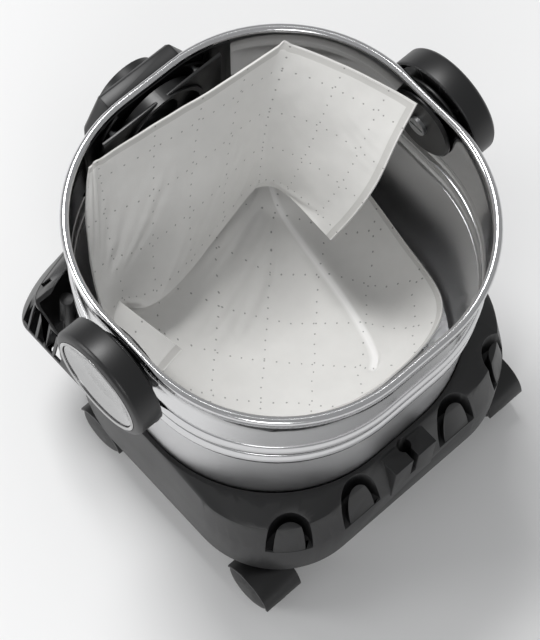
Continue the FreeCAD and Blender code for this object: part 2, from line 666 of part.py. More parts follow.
# ---------------------------------------------------------------- side latches
def make_latch(side):
    name = side_name(side)
    height = size("latch_height")
    pivot = Vector(0, 0, height)
    axis = Vector(side, 0, 0)
    back = size("latch_outer") - size("latch_depth")
    face_x = size("tub_half") + size("seat")
    end = "" if side > 0 else "-"

    def ray(x, up):
        return Vector(side * x, 0, height + up)

    # the fixed boss that stands off the tub wall
    start = "sizes.tub_half" if side > 0 else "-(sizes.latch_outer - sizes.latch_depth) + 1"
    length = "sizes.latch_outer - sizes.latch_depth - sizes.tub_half - 1"
    rod(f"boss_{name}", "sizes.hub_radius", length, (start, "0", "sizes.latch_height"), "x")
    flange_x = "(sizes.tub_half + sizes.rim_radius + 0.5)"
    flange = f"sizes.latch_outer - sizes.latch_depth - 1 - {flange_x}"
    rod(f"flange_{name}", "sizes.flange_radius", flange,
        (flange_x if side > 0 else f"-{flange_x} - ({flange})", "0", "sizes.latch_height"), "x")
    rod(f"boss_bore_{name}", "sizes.pivot_radius + sizes.run", "200",
        ("0" if side > 0 else "-200", "0", "sizes.latch_height"), "x")
    solid = fuse(
        f"boss_solid_{name}", [doc.getObject(f"boss_{name}"), doc.getObject(f"flange_{name}")])
    node(f"latch_hub_{name}", cut(
        f"latch_hub_{name}", solid, doc.getObject(f"boss_bore_{name}")))

    # the round plate inside the tub that takes the pivot's pull
    inside = tub_half_at(height - size("inner_plate_radius")) - size("tub_wall") - size("seat")
    near, far = inside - size("inner_plate_thick"), inside
    plate = turned([ray(near, 0), ray(far, 0), ray(far, size("inner_plate_radius")),
                    ray(near + 1.5, size("inner_plate_radius")),
                    ray(near, size("inner_plate_radius") - 2)], pivot, axis)
    plate = plate.cut(round_bar(
        size("pivot_radius") + size("run"), pivot, pivot + axis * 300))
    solid_node(f"latch_plate_{name}", plate)

    # the pivot: a slotted head inside the tub and a plain shank out to the nut
    nut_start = size("latch_outer") - size("dish_depth") - size("nut_thick") - 4
    head = 3
    shank = round_bar(size("pivot_radius"), ray(near, 0), ray(nut_start + size("nut_thick"), 0))
    cap = round_bar(9, ray(near - head, 0), ray(near, 0))
    slot = box(Vector(min(side * (near - head - 1), side * (near - head + 1.5)), -7, height - 1),
               Vector(max(side * (near - head - 1), side * (near - head + 1.5)), 7, height + 1))
    solid_node(f"latch_pivot_{name}", shank.fuse(cap).cut(slot))

    nut = Part.makePolygon([
        Vector(side * nut_start, size("nut_radius") * math.cos(math.radians(a)),
               height + size("nut_radius") * math.sin(math.radians(a)))
        for a in range(0, 361, 60)
    ])
    nut = Part.Face(nut).extrude(axis * size("nut_thick"))
    nut = nut.cut(round_bar(size("pivot_radius") + size("run"), ray(0, 0), ray(300, 0)))
    solid_node(f"latch_nut_{name}", nut)

    # the turning cover: a deep rim round a dished face, open and ribbed at the back
    outer, wall = size("latch_outer"), size("latch_wall")
    radius, dish = size("latch_radius"), size("dish_radius")
    depth = size("dish_depth")
    cover = turned([
        ray(back, radius - 1), ray(back, radius - wall), ray(outer - wall - 2, radius - wall),
        ray(outer - wall - 1, dish + wall), ray(outer - depth - wall, dish * 0.6),
        ray(outer - depth - wall, size("nut_radius") + 2), ray(outer - depth, size("nut_radius") + 2),
        ray(outer - depth, dish * 0.6), ray(outer - 2.2, dish), ray(outer - 2.2, dish + 3),
        ray(outer, dish + 3), ray(outer - 1.5, radius - 2), ray(outer - 4, radius),
        ray(back + 1, radius),
    ], pivot, axis)
    sleeve_start = back
    sleeve = round_bar(size("sleeve_radius"), ray(sleeve_start, 0), ray(nut_start - 1, 0))
    web_x = nut_start - 1 - wall
    disc = round_bar(dish + wall, ray(web_x, 0), ray(web_x + wall, 0))
    ribs = []
    rib = box(Vector(min(side * (back + 3), side * (outer - wall)), -size("rib_thick") / 2, height),
              Vector(max(side * (back + 3), side * (outer - wall)), size("rib_thick") / 2,
                     height + radius - wall / 2))
    body = turned([
        ray(back, 0), ray(outer - depth - wall, 0), ray(outer - depth - wall, dish * 0.6),
        ray(outer - wall - 1, dish + wall), ray(outer - wall - 2, radius - wall / 2),
        ray(back, radius - wall / 2),
    ], pivot, axis)
    for number in range(int(size("rib_count"))):
        turned_rib = rib.copy()
        turned_rib.rotate(pivot, Vector(1, 0, 0), 360 / size("rib_count") * number)
        ribs.append(turned_rib)
    ribs = [piece.common(body) for piece in ribs]
    cover = cover.multiFuse([sleeve, disc] + ribs)
    tools = [
        round_bar(size("pivot_radius") + size("run"), ray(0, 0), ray(300, 0)),
        round_bar(size("nut_radius") + 1.5, ray(nut_start - 1, 0), ray(300, 0)),
    ]
    tab_x = size("tub_half") + size("rim_radius") + 1
    tab = box(Vector(min(side * tab_x, side * (back + 4)), radius - 9, height - 20),
              Vector(max(side * tab_x, side * (back + 4)), radius - 4, height - 12))
    cover = cover.cut(Part.makeCompound(tools)).fuse(tab).removeSplitter()
    solid_node(f"latch_cover_{name}", cover)

    # the bright dished inlay and the ring round it
    skin = 1.0
    gap = 0.1
    inlay = turned([
        ray(outer - depth + gap, 0), ray(outer - depth + gap, dish * 0.6 - 0.5),
        ray(outer - 2.2 + gap, dish - 0.7), ray(outer - 2.2 + gap + skin, dish - 0.7),
        ray(outer - depth + gap + skin, dish * 0.6 - 1.2), ray(outer - depth + gap + skin, 0),
    ], pivot, axis)
    solid_node(f"latch_inlay_{name}", inlay)
    trim = turned([
        ray(outer - 2.1, dish), ray(outer - 2.1, dish + 2.8), ray(outer, dish + 2.8),
        ray(outer + 0.8, dish + 1.8), ray(outer, dish)], pivot, axis)
    solid_node(f"latch_trim_{name}", trim)


# ---------------------------------------------------------------- casters
def make_caster(name, x, y):
    """One caster, its wheels trailing to the rear of its stem."""
    radius, width, web = size("wheel_radius"), size("wheel_width"), size("web_width")
    axle_y = y + size("trail")
    centre = Vector(x, axle_y, radius)
    across = Vector(1, 0, 0)
    reach = web / 2 + size("seat") + width

    # swivel stem with a collar that carries the chassis
    hood_top = size("base_bottom") - 2.5
    at_x, at_y = f"{x}", f"{y}"
    rod(f"stem_pin_{name}", "sizes.stem_radius", f"sizes.stem_top - {hood_top - 7}",
        (at_x, at_y, f"{hood_top - 7}"))
    rod(f"stem_collar_{name}", "sizes.stem_radius + 4",
        f"sizes.base_bottom - sizes.seat - {hood_top}", (at_x, at_y, f"{hood_top}"))
    node(f"caster_stem_{name}", fuse(
        f"caster_stem_{name}",
        [doc.getObject(f"stem_pin_{name}"), doc.getObject(f"stem_collar_{name}")]))

    # hood: a web between the wheels, a canopy over them and a pad for the stem
    inner = radius + size("hood_gap")
    outer = inner + size("hood_wall")
    start = centre - across * reach
    canopy = Part.makeCylinder(outer, 2 * reach, start, across).cut(
        Part.makeCylinder(inner, 2 * reach, start, across))
    keep = box(Vector(x - reach, axle_y - outer * 0.8, radius + 4),
               Vector(x + reach, axle_y + outer, radius + outer + 1))
    canopy = canopy.common(keep)
    middle = Part.makeCylinder(inner + 1, web, centre - across * web / 2, across)
    middle = middle.common(box(Vector(x - web, axle_y - outer, radius - 8),
                               Vector(x + web, axle_y + outer, radius + outer)))
    pad = Part.makeCylinder(9, hood_top - radius - 10, Vector(x, y, radius + 10))
    pad = pad.cut(Part.makeCylinder(inner, 2 * reach, start, across))
    hood = canopy.multiFuse([middle, pad])
    hood = hood.cut(Part.makeCompound([
        round_bar(size("axle_radius") + size("run"), start, centre + across * reach),
        Part.makeCylinder(size("stem_radius"), 40, Vector(x, y, hood_top - 7)),
    ]))
    solid_node(f"caster_hood_{name}", hood)

    half_axle = web / 2 + size("seat") + 0.8 * width
    solid_node(f"caster_axle_{name}", round_bar(
        size("axle_radius"), centre - across * half_axle, centre + across * half_axle))

    for label, side in (("a", 1), ("b", -1)):
        def spot(along, up):
            return Vector(x + side * (web / 2 + size("seat") + along), axle_y, radius + up)

        bore = size("axle_radius") + size("run")
        wheel = turned([
            spot(0, bore), spot(0, radius - 1.5), spot(1.5, radius), spot(width * 0.62, radius),
            spot(width * 0.78, radius - 1.6), spot(width * 0.88, radius - 6),
            spot(width * 0.96, radius - 14), spot(width, 0), spot(width * 0.82, 0),
            spot(width * 0.82, bore),
        ], centre, across)
        solid_node(f"caster_wheel_{name}_{label}", wheel)


def make_fasteners():
    bottom = size("base_bottom")
    sleeves = []
    for _, x, y in caster_places():
        bore = size("stem_radius") + size("run")
        sleeve = Part.makeCylinder(
            bore + size("sleeve_wall"), size("sleeve_length"), Vector(x, y, bottom))
        sleeves.append(sleeve.cut(Part.makeCylinder(
            bore, size("sleeve_length"), Vector(x, y, bottom))))
    solid_node("caster_sleeves", Part.makeCompound(sleeves))

    bolts, nuts = [], []
    inside = size("tub_floor") + size("tub_wall")
    under = size("tub_floor") - size("base_floor")
    for x, y in tub_screw_places():
        shank = Part.makeCylinder(
            size("screw_radius"), inside + 6 - under, Vector(x, y, under))
        head = Part.makeCylinder(size("screw_head"), 3, Vector(x, y, under - 3))
        bolts.append(shank.fuse(head))
        hexagon = Part.makePolygon([
            Vector(x + size("screw_head") * math.cos(math.radians(a)),
                   y + size("screw_head") * math.sin(math.radians(a)), inside)
            for a in range(0, 361, 60)
        ])
        hexagon = Part.Face(hexagon).extrude(Vector(0, 0, 4))
        nuts.append(hexagon.cut(Part.makeCylinder(
            size("screw_radius") + size("run"), 4, Vector(x, y, inside))))
    solid_node("tub_bolts", Part.makeCompound(bolts))
    solid_node("tub_nuts", Part.makeCompound(nuts))

    screws = []
    for side in (-1, 1):
        x, y = side * size("column_x"), -size("column_y")
        shank = Part.makeCylinder(
            size("screw_radius") - size("run"), size("lug_top") + 25 - bottom, Vector(x, y, bottom))
        head = Part.makeCylinder(size("screw_head"), 3, Vector(x, y, bottom - 3))
        screws.append(shank.fuse(head))
    solid_node("bumper_screws", Part.makeCompound(screws))


# ---------------------------------------------------------------- build and export
make_tub()
make_chassis()
make_bumper()
make_inlet()
make_bag()
for side in (1, -1):
    make_latch(side)
for caster in caster_places():
    make_caster(*caster)
make_fasteners()
doc.recompute()

faults = [made.Name for made in doc.Objects if "Invalid" in made.State or "Error" in made.State]
for made in NODES:
    shape = made.Shape
    if shape.isNull() or not shape.isValid() or not shape.Solids:
        faults.append(made.Label)
if faults:
    raise SystemExit(f"faulty objects: {faults}")
os.makedirs("parts", exist_ok=True)
for made in NODES:
    made.Shape.exportStep(f"parts/{made.Label}.step")
    print(made.Label, len(made.Shape.Solids), round(made.Shape.Volume / 1000, 1))
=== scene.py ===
# %% [markdown]
# # A shop vacuum's container, looked down into
#
# The machine is a polished steel tub in a moulded grey chassis with four casters, a bumper tray at
# the front, a hose inlet, two turning latches and a white fleece filter bag. Its hard parts were
# drawn and sized in CAD. This lesson keeps their places, rounds their edges, makes the mirror-like
# surfaces and the cloth afresh, and gives each piece the finish that the real one has.

import json
import math

import bmesh
import bpy
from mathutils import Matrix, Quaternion, Vector


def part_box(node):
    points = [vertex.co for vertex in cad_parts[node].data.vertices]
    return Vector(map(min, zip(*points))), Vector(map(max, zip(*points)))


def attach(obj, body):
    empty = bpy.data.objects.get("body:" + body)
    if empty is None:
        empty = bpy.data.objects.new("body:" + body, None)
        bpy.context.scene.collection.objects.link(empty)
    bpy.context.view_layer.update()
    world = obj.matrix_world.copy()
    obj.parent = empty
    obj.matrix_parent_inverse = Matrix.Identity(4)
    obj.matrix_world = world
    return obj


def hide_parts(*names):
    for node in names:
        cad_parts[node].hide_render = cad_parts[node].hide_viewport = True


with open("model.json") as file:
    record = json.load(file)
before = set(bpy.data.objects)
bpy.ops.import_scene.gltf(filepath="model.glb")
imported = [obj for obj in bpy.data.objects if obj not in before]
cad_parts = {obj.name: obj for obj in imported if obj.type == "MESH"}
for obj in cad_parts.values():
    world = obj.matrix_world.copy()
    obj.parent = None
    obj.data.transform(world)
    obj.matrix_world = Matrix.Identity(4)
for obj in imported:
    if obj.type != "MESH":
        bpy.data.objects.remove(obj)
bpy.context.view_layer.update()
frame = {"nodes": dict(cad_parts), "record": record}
scene = bpy.context.scene


# %% [markdown]
# ## Camera
#
# We look into the tub from high above its rear right corner. A long lens from two metres away
# keeps the rim almost the shape it has in plan. The camera is turned a little about its own line
# of sight, so the rear edge of the chassis runs down the picture.

# %% Camera
TARGET = Vector((0.0216, 0.0230, 0.200))
AZIMUTH, ELEVATION, ROLL = (math.radians(v) for v in (133.3, 66.9, 4.8))
DISTANCE = 2.0728
LENS = 141.9

back = Vector((
    math.sin(AZIMUTH) * math.cos(ELEVATION),
    -math.cos(AZIMUTH) * math.cos(ELEVATION),
    math.sin(ELEVATION),
))
camera = bpy.data.objects.new("camera", bpy.data.cameras.new("camera"))
scene.collection.objects.link(camera)
camera.data.lens = LENS
camera.rotation_mode = "QUATERNION"
camera.location = TARGET + back * DISTANCE
camera.rotation_quaternion = (
    (-back).to_track_quat("-Z", "Y") @ Quaternion((0, 0, 1), ROLL))
scene.camera = camera


# %% [markdown]
# ## Light and floor
#
# A polished tub shows the room as much as itself, so the room matters. One large soft panel hangs
# high over the front and leaves the foot of the bag's wall in shade. A second stands low behind
# the camera and lights that wall over the rim, a third skims the side, and a pale sky fills the
# rest. The floor is a plain pale sheet.

# %% Light and floor
def srgb(code):
    """An sRGB hex colour as the linear numbers that a shader takes."""
    channels = [int(code[i:i + 2], 16) / 255 for i in (1, 3, 5)]
    linear = [c / 12.92 if c <= 0.04045 else ((c + 0.055) / 1.055) ** 2.4 for c in channels]
    return (*linear, 1.0)


def panel(name, place, aim, size, power):
    """A soft square light at a place, facing a point."""
    light = bpy.data.lights.new(name, "AREA")
    light.shape = "SQUARE"
    light.size = size
    light.energy = power
    made = bpy.data.objects.new(name, light)
    made.location = place
    made.rotation_mode = "QUATERNION"
    made.rotation_quaternion = (Vector(aim) - Vector(place)).to_track_quat("-Z", "Y")
    scene.collection.objects.link(made)


MIDDLE = (0, 0, 0.2)
panel("overhead_panel", (-0.45, -2.8, 5.5), MIDDLE, 1.9, 225)
panel("rear_panel", (1.9, 1.8, 1.75), MIDDLE, 0.9, 16)
panel("side_panel", (2.2, -1.6, 1.1), MIDDLE, 0.9, 22)
world = bpy.data.worlds.new("studio")
world.use_nodes = True
world.node_tree.nodes["Background"].inputs["Color"].default_value = srgb("#F2F3F4")
world.node_tree.nodes["Background"].inputs["Strength"].default_value = 0.45
scene.world = world
scene.view_settings.view_transform = "Standard"


def deselect():
    for piece in bpy.context.selected_objects:
        piece.select_set(False)


def use(piece):
    """Makes one piece the only selected one and the active one."""
    deselect()
    piece.select_set(True)
    bpy.context.view_layer.objects.active = piece
    return piece


FLOOR_WIDTH, FLOOR_DROP = 30, 0.0005
deselect()
bpy.ops.mesh.primitive_plane_add(size=FLOOR_WIDTH, location=(0, 0, -FLOOR_DROP))
floor = bpy.context.object
floor.name = "studio_floor"
print("floor", FLOOR_WIDTH, "m wide")


# %% [markdown]
# ## Materials
#
# Each finish starts from what the part is made of. Three helpers keep the graphs short: one makes
# a material with its shader's plain values, one adds a node with its settings and links, and one
# does a sum on the values that other nodes give.

# %% Material helpers
def finish(name, colour, roughness, **values):
    """A material with a Principled shader. Names of sockets are written with underscores."""
    made = bpy.data.materials.new(name)
    made.use_nodes = True
    shader = made.node_tree.nodes["Principled BSDF"]
    shader.inputs["Base Color"].default_value = srgb(colour)
    shader.inputs["Roughness"].default_value = roughness
    for socket, value in values.items():
        shader.inputs[socket.replace("_", " ")].default_value = value
    return made


def add(material, kind, to=None, settings=None, **inputs):
    """Adds a node. Inputs are values or other nodes' outputs, and to is (node, socket, output)."""
    tree = material.node_tree
    made = tree.nodes.new("ShaderNode" + kind)
    for name, value in (settings or {}).items():
        setattr(made, name, value)
    for name, value in inputs.items():
        socket = made.inputs[name.replace("_", " ")]
        if isinstance(value, bpy.types.NodeSocket):
            tree.links.new(value, socket)
        else:
            socket.default_value = value
    if to:
        target, socket, output = to
        tree.links.new(made.outputs[output], target.inputs[socket])
    return made


def sum_node(material, operation, *values):
    """Adds a Math node, whose inputs share one name, and gives its output."""
    made = add(material, "Math", settings={"operation": operation})
    for socket, value in zip(made.inputs, values):
        if isinstance(value, bpy.types.NodeSocket):
            material.node_tree.links.new(value, socket)
        else:
            socket.default_value = value
    return made.outputs["Value"]


def shader_of(material):
    return material.node_tree.nodes["Principled BSDF"]


def grain(material, pitch, depth, patch, low, high):
    """Moulded or cast grain: a fine bump of that pitch in metres, and patches of roughness."""
    shader = shader_of(material)
    place = add(material, "TexCoord")
    fine = add(material, "TexNoise", Vector=place.outputs["Object"], Scale=1 / pitch, Detail=2.0)
    add(material, "Bump", to=(shader, "Normal", "Normal"), Height=fine.outputs["Fac"],
        Strength=0.6, Distance=depth)
    broad = add(material, "TexNoise", Vector=place.outputs["Object"], Scale=1 / patch, Detail=3.0)
    add(material, "MapRange", to=(shader, "Roughness", "Result"),
        Value=broad.outputs["Fac"], To_Min=low, To_Max=high)
    return material


# %% Materials
mm = 0.001
# Painted board: matt, so it takes the shadow and gives back no highlight.
paper = finish("painted_studio_floor", "#EDEDED", 0.9)
floor.data.materials.append(paper)

# Moulded polypropylene, mid to dark grey: a fine spark-eroded grain breaks up the highlights.
grey_plastic = grain(finish("moulded_polypropylene", "#161617", 0.5), 0.6 * mm, 0.05 * mm,
                     40 * mm, 0.34, 0.48)
# Moulded polyamide, darker and finer in its grain, so its highlights are a little tighter.
dark_plastic = grain(finish("moulded_polyamide_dark", "#121213", 0.45), 0.5 * mm, 0.04 * mm,
                     30 * mm, 0.32, 0.46)
# Black ABS, nearly smooth from the mould, so it keeps small clear highlights.
black_plastic = grain(finish("moulded_abs_black", "#0B0B0C", 0.35), 0.5 * mm, 0.02 * mm,
                      25 * mm, 0.26, 0.40)
# Polyamide wheels, scuffed by the floor, so they are the dullest of the dark parts.
wheel_plastic = grain(finish("turned_polyamide_wheel", "#141415", 0.45), 0.6 * mm, 0.03 * mm,
                      20 * mm, 0.36, 0.50)
# Chromed trim, thinly plated over a brushed disc: fine smears blur its reflections here and there.
chrome = grain(finish("chromed_trim", "#B4B4B4", 0.2, Metallic=1.0), 0.7 * mm, 0.01 * mm,
               9 * mm, 0.12, 0.34)
# Zinc-plated screws, axles and sleeves: a bright grey metal with an uneven bloom.
zinc = grain(finish("zinc_plated_steel", "#B9BABB", 0.35, Metallic=1.0), 0.8 * mm, 0.01 * mm,
             12 * mm, 0.28, 0.45)
# Moulded rubber: dark and dull, with no clear highlight.
rubber = grain(finish("moulded_rubber", "#1A1A1A", 0.7), 0.6 * mm, 0.05 * mm, 15 * mm, 0.6, 0.8)


# %% [markdown]
# Stainless sheet that was rolled and polished is nearly a mirror, but never a flat one. The
# rolling leaves long shallow waves, which bend the reflections, and handling leaves soft smears
# that are a little duller. The fine brush lines run round the tub, so they spread each reflection
# up and down, most of all on the lower band, which was never buffed as bright as the rim.

# %% Polished steel
WAVES_PER_METRE, WAVE_DEPTH, SMEARS_PER_METRE = 14.0, 0.9 * mm, 22.0
LOWER_BAND_TOP, BUFFED_FROM = 0.232, 0.244
steel = finish("polished_stainless", "#D2D2D3", 0.15, Metallic=1.0, Anisotropic=0.75)
place = add(steel, "TexCoord")
add(steel, "Tangent", to=(shader_of(steel), "Tangent", "Tangent"),
    settings={"direction_type": "RADIAL", "axis": "Z"})
stretched = add(steel, "Mapping", Vector=place.outputs["Object"], Scale=(1, 1, 0.35))
waves = add(steel, "TexNoise", Vector=stretched.outputs["Vector"], Scale=WAVES_PER_METRE,
            Detail=1.0)
add(steel, "Bump", to=(shader_of(steel), "Normal", "Normal"), Height=waves.outputs["Fac"],
    Strength=0.5, Distance=WAVE_DEPTH)
smears = add(steel, "TexNoise", Vector=place.outputs["Object"], Scale=SMEARS_PER_METRE,
             Detail=6.0)
dull = add(steel, "MapRange", Value=smears.outputs["Fac"], To_Min=0.02, To_Max=0.14)
level = add(steel, "SeparateXYZ", Vector=place.outputs["Object"])
buffed = add(steel, "MapRange", Value=level.outputs["Z"], From_Min=LOWER_BAND_TOP,
             From_Max=BUFFED_FROM, To_Min=0.36, To_Max=0.04)
steel.node_tree.links.new(
    sum_node(steel, "ADD", dull.outputs["Result"], buffed.outputs["Result"]),
    shader_of(steel).inputs["Roughness"])
print("steel nodes", len(steel.node_tree.nodes))


# %% [markdown]
# The bag is a bonded fleece: loose white fibres pressed flat. Rows of needle holes cross it every
# 42 mm, a hole every 10 mm, and a band is welded shut along the open edges. The cloth carries two
# maps: one measures it in metres, the other holds the distance to its welded edges. Real fibres
# are far too fine to show, so they are drawn about a millimetre apart.

# %% Fleece
ROW_PITCH, HOLE_PITCH, HOLE_RADIUS, HOLE_FADE = 42 * mm, 10 * mm, 0.4 * mm, 0.95 * mm
WELD_IN, WELD_HALF, WELD_FADE, WELD_DASH = 4 * mm, 2.4 * mm, 3.2 * mm, 0.8 * mm
DASH_RISE = 350.0
FIBRES_PER_METRE, PADS_PER_METRE, FIBRE_DEPTH = 900.0, 60.0, 0.35 * mm
RIDGE_FROM, RIDGE_FULL = 0.90, 0.96
fleece = finish("bonded_fleece", "#EFEEEB", 0.92, Sheen_Weight=0.25)
shader = shader_of(fleece)
cloth_map = add(fleece, "UVMap", settings={"uv_map": "cloth"})
edge_map = add(fleece, "UVMap", settings={"uv_map": "edge"})
across = add(fleece, "SeparateXYZ", Vector=cloth_map.outputs["UV"])


def math_node(operation, *values):
    return sum_node(fleece, operation, *values)


def needle_row(long_way, short_way):
    """Distance to the nearest hole of the rows that run along one way of the cloth."""
    off_row = math_node("PINGPONG", short_way, ROW_PITCH / 2)
    off_hole = math_node("PINGPONG", long_way, HOLE_PITCH / 2)
    return math_node("SQRT", math_node(
        "ADD", math_node("MULTIPLY", off_row, off_row), math_node("MULTIPLY", off_hole, off_hole)))


nearest = math_node("MINIMUM", needle_row(across.outputs["X"], across.outputs["Y"]),
                    needle_row(across.outputs["Y"], across.outputs["X"]))
hole = add(fleece, "MapRange", Value=nearest, From_Min=HOLE_RADIUS, From_Max=HOLE_FADE,
           To_Min=1.0, To_Max=0.0)
to_edge = add(fleece, "SeparateXYZ", Vector=edge_map.outputs["UV"])
inwards = math_node("MINIMUM", to_edge.outputs["X"], to_edge.outputs["Y"])
off_weld = math_node("ABSOLUTE", math_node("SUBTRACT", inwards, WELD_IN))
weld = add(fleece, "MapRange", Value=off_weld, From_Min=WELD_HALF, From_Max=WELD_FADE,
           To_Min=1.0, To_Max=0.0)
slanting = math_node("ADD", across.outputs["X"], across.outputs["Y"])
dashes = math_node("PINGPONG", slanting, WELD_DASH)
pressed = math_node("MULTIPLY", weld.outputs["Result"], math_node(
    "ADD", 0.55, math_node("MULTIPLY", dashes, DASH_RISE)))
place = add(fleece, "TexCoord")
fibres = add(fleece, "TexNoise", Vector=place.outputs["Object"], Scale=FIBRES_PER_METRE,
             Detail=4.0)
pads = add(fleece, "TexNoise", Vector=place.outputs["Object"], Scale=PADS_PER_METRE, Detail=3.0)
height = math_node("ADD", math_node("MULTIPLY", fibres.outputs["Fac"], 0.35), math_node(
    "MULTIPLY", pads.outputs["Fac"], 0.5))
height = math_node("SUBTRACT", height, math_node("MULTIPLY", pressed, 0.9))
height = math_node("SUBTRACT", height, math_node("MULTIPLY", hole.outputs["Result"], 1.4))
add(fleece, "Bump", to=(shader, "Normal", "Normal"), Height=height, Strength=0.55,
    Distance=FIBRE_DEPTH)
clouds = add(fleece, "MapRange", Value=pads.outputs["Fac"], From_Min=0.3, From_Max=0.7,
             To_Min=0.2, To_Max=0.8)
tone = add(fleece, "MixRGB", Fac=clouds.outputs["Result"],
           Color1=srgb("#E0DFDC"), Color2=srgb("#E7E6E3"))
# Painted highlight: along the crease ridges of the laid sheet the colour is painted near white,
# where light would catch their crests.
pleated = add(fleece, "Attribute", settings={"attribute_name": "painted_ridge_highlight"})
ridge = add(fleece, "MapRange", Value=pleated.outputs["Fac"], From_Min=RIDGE_FROM,
            From_Max=RIDGE_FULL, To_Min=0.0, To_Max=1.0)
ridge_highlighted = add(fleece, "MixRGB", Fac=ridge.outputs["Result"], Color1=tone.outputs["Color"],
              Color2=srgb("#FAF9F7"))
seamed = add(fleece, "MixRGB", Fac=math_node("MULTIPLY", weld.outputs["Result"], 0.5),
             Color1=ridge_highlighted.outputs["Color"], Color2=srgb("#B4B2AE"))
add(fleece, "MixRGB", to=(shader, "Base Color", "Color"), Color1=seamed.outputs["Color"],
    Color2=srgb("#3A3937"), Fac=math_node("MULTIPLY", hole.outputs["Result"], 0.6))
print("fleece nodes", len(fleece.node_tree.nodes))

# %% A finish for each slot
BY_SLOT = {
    "stainless": steel, "grey_plastic": grey_plastic, "dark_plastic": dark_plastic,
    "black_plastic": black_plastic, "chromed_inlay": chrome, "wheel_plastic": wheel_plastic,
    "gasket_rubber": rubber, "zinc_steel": zinc, "fleece": fleece,
}
slots = {part["node"]: part["material_slot"] for part in frame["record"]["subparts"]}
body_of = {
    node: body for body, nodes in frame["record"]["behaviour"]["bodies"].items() for node in nodes}
for name, part in frame["nodes"].items():
    part.data.materials.clear()
    part.data.materials.append(BY_SLOT[slots[name]])
print("finishes", len(BY_SLOT), "nodes", len(slots))


# %% [markdown]
# ## Modelling helpers
#
# Every new piece is made at the origin, with its place in its mesh, and then handed to the body
# and the CAD nodes that it stands for. Round and tub-like pieces are built as a tower: one face is
# drawn up through a list of levels, resized at each.

# %% Modelling helpers
def hand_over(piece, *nodes):
    """Gives a piece the body and the finish of the CAD nodes it replaces, and hides those nodes."""
    first = nodes[0]
    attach(piece, body_of[first])
    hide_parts(*nodes)
    piece.data.materials.clear()
    piece.data.materials.append(BY_SLOT[slots[first]])


def smooth(piece, degrees=35):
    use(piece)
    bpy.ops.object.shade_smooth_by_angle(angle=math.radians(degrees))


def apply_all(piece):
    use(piece)
    for modifier in list(piece.modifiers):
        bpy.ops.object.modifier_apply(modifier=modifier.name)


def draw_up(levels, start):
    """Draws the selected face up through (half width, height) levels, from the first one."""
    reach, height = levels[0]
    for next_reach, next_height in levels[1:]:
        bpy.ops.mesh.extrude_region_move(
            TRANSFORM_OT_translate={"value": (0, 0, next_height - height)})
        share = next_reach / reach
        bpy.ops.transform.resize(
            value=(share, share, 1), center_override=(start[0], start[1], next_height))
        reach, height = next_reach, next_height


def face_outwards():
    bpy.ops.mesh.select_all(action="SELECT")
    bpy.ops.mesh.normals_make_consistent(inside=False)
    bpy.ops.object.mode_set(mode="OBJECT")


# %% [markdown]
# ## The tub
#
# The tub is one sheet: up the outside past two pressed beads, over the rolled rim and down the
# inside to the pan. Its plan is a square with very round corners, so we bevel the corners of a
# plane and draw that face up.

# %% The tub
tub_low, tub_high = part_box("tub_wall")
MIDDLE_Y = (tub_low.y + tub_high.y) / 2
FOOT, LIP, SHEET = 148.4 * mm, 159 * mm, 1.2 * mm
BEADS, BEAD_HALF, BEAD_DEPTH = (247 * mm, 268 * mm), 9 * mm, 2.6 * mm
ROLL_RADIUS = 3.5 * mm
BEAD_STEPS, BEAD_CROWN = 8, 1.3
CORNER_REACH, CORNER_STEPS = FOOT - 26 * mm, 24
foot_z, lip_z = tub_low.z, tub_high.z


def half_at(z):
    """Half the tub's width at a height."""
    return FOOT + (LIP - FOOT) * (z - foot_z) / (lip_z - foot_z)


def wall_levels(inset):
    """The wall's levels from foot to rim, with the two beads."""
    heights = [foot_z + h * mm for h in (6, 20, 60, 100, 132)]
    made = [(half_at(z) - inset, z) for z in heights]
    for middle in BEADS:
        for step in range(BEAD_STEPS + 1):
            turn = math.pi * step / BEAD_STEPS
            z = middle - BEAD_HALF * math.cos(turn)
            made.append((half_at(z) - inset + BEAD_DEPTH * math.sin(turn) ** BEAD_CROWN, z))
    return made + [(half_at(z) - inset, z) for z in (lip_z - 55 * mm, lip_z - 30 * mm)]


def rolled_rim():
    """The rim's levels: round its roll from under the outside to the inside."""
    middle = tub_high.x - ROLL_RADIUS, lip_z - ROLL_RADIUS
    turns = [math.radians(a) for a in range(-60, 226, 15)]
    roll = [(middle[0] + ROLL_RADIUS * math.cos(t), middle[1] + ROLL_RADIUS * math.sin(t))
            for t in turns]
    inside = [(LIP - SHEET - 0.6 * mm, lip_z - 7.5 * mm), (LIP - SHEET - 1.0 * mm, lip_z - 9 * mm),
              (LIP - SHEET - 0.4 * mm, lip_z - 10.5 * mm)]
    return [(LIP - 0.2 * mm, lip_z - 8 * mm)] + roll + inside


levels = [(FOOT - 2 * mm, foot_z), (FOOT - 0.6 * mm, foot_z + 0.6 * mm), (FOOT, foot_z + 2 * mm)]
levels += wall_levels(0) + rolled_rim() + wall_levels(SHEET)[::-1]
levels += [(FOOT - SHEET - 0.8 * mm, foot_z + 3.2 * mm), (FOOT - SHEET - 3 * mm, foot_z + SHEET)]
bpy.ops.mesh.primitive_plane_add(size=2 * levels[0][0])
tub = bpy.context.object
tub.name = "steel_tub"
bpy.ops.object.mode_set(mode="EDIT")
bpy.ops.mesh.select_all(action="SELECT")
bpy.ops.mesh.bevel(offset=CORNER_REACH, segments=CORNER_STEPS, affect="VERTICES")
bpy.ops.transform.translate(value=(0, MIDDLE_Y, foot_z))
bpy.ops.mesh.select_all(action="SELECT")
draw_up(levels, (0, MIDDLE_Y))
face_outwards()
print("tub faces", len(tub.data.polygons))

